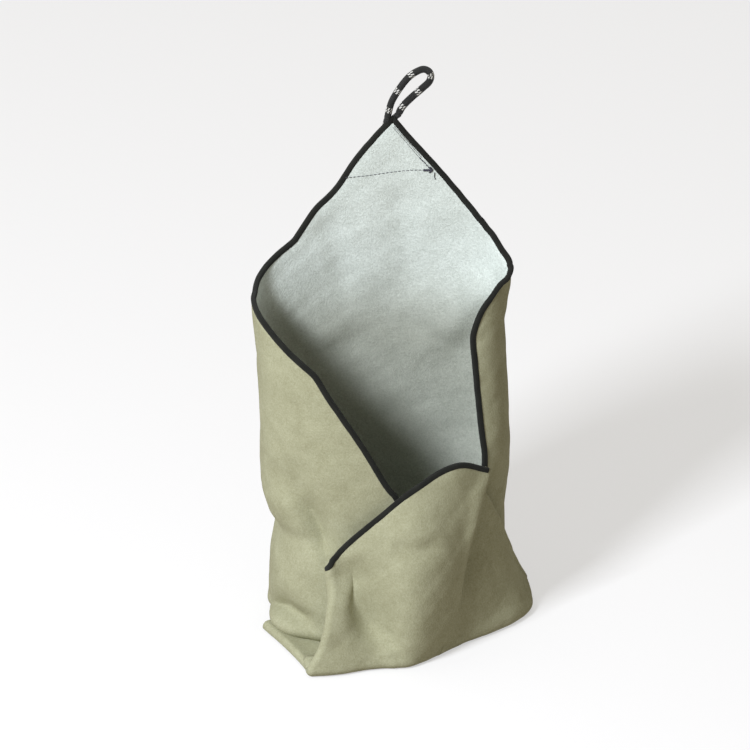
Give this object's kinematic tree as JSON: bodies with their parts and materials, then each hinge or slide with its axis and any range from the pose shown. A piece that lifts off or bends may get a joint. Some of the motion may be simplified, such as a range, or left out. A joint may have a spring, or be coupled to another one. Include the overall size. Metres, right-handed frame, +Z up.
{
  "type": "lens wrap",
  "caption": "Square padded cloth wrap standing folded into an open pouch, with bound edges, a front flap, a raised top corner and a hanging cord loop.",
  "frame": {"origin": "on the table plane under the middle of the standing wrap's outline, measured without the hanging loop", "axes": "+Z up along the standing wrap to its top corner, +X to the right and -Y to the front, where the front flap is"},
  "size_m": [0.2066, 0.155, 0.4374],
  "materials": {
    "outer_suede": "khaki-sage microsuede, matt with a short nap",
    "padding_foam": "soft open foam, not seen",
    "lining_fleece": "light grey brushed fleece",
    "binding_tape": "black ribbed woven tape",
    "braided_cord": "black braid with small white tracer flecks",
    "sewing_thread": "dark twisted sewing thread"
  },
  "bodies": {
    "root": {"outer_back": "outer_suede", "padding_back": "padding_foam", "lining_back": "lining_fleece", "outer_left_wing": "outer_suede", "padding_left_wing": "padding_foam", "lining_left_wing": "lining_fleece", "outer_right_wing": "outer_suede", "padding_right_wing": "padding_foam", "lining_right_wing": "lining_fleece", "outer_base": "outer_suede", "padding_base": "padding_foam", "lining_base": "lining_fleece", "outer_left_gusset": "outer_suede", "padding_left_gusset": "padding_foam", "lining_left_gusset": "lining_fleece", "binding_left_wing": "binding_tape", "binding_left_corner": "binding_tape", "binding_right_wing": "binding_tape"},
    "top_flap": {"outer_top_flap": "outer_suede", "padding_top_flap": "padding_foam", "lining_top_flap": "lining_fleece", "binding_top_left": "binding_tape", "binding_top_right": "binding_tape", "corner_patch": "outer_suede", "corner_stitching": "sewing_thread", "bar_tack": "sewing_thread"},
    "loop": {"loop_cord": "braided_cord"},
    "front_flap": {"outer_front_flap": "outer_suede", "padding_front_flap": "padding_foam", "lining_front_flap": "lining_fleece", "outer_side_roll": "outer_suede", "padding_side_roll": "padding_foam", "lining_side_roll": "lining_fleece", "outer_front_tuck": "outer_suede", "padding_front_tuck": "padding_foam", "lining_front_tuck": "lining_fleece", "binding_front": "binding_tape"}
  },
  "joints": [
    {"name": "top_flap_fold", "type": "hinge", "parent": "root", "child": "top_flap", "pos_m": [0, 0.0547, 0.306], "axis": [1, 0, 0], "range_deg": [0, 120]},
    {"name": "loop_lean", "type": "hinge", "parent": "top_flap", "child": "loop", "pos_m": [0.00433, 0.0675, 0.394], "axis": [1, 0, 0], "range_deg": [-50, 50]},
    {"name": "front_flap_fold", "type": "hinge", "parent": "root", "child": "front_flap", "pos_m": [0.01433, -0.0625, 0.002], "axis": [0.8729, 0.4879, 0], "range_deg": [0, 90]}
  ]
}
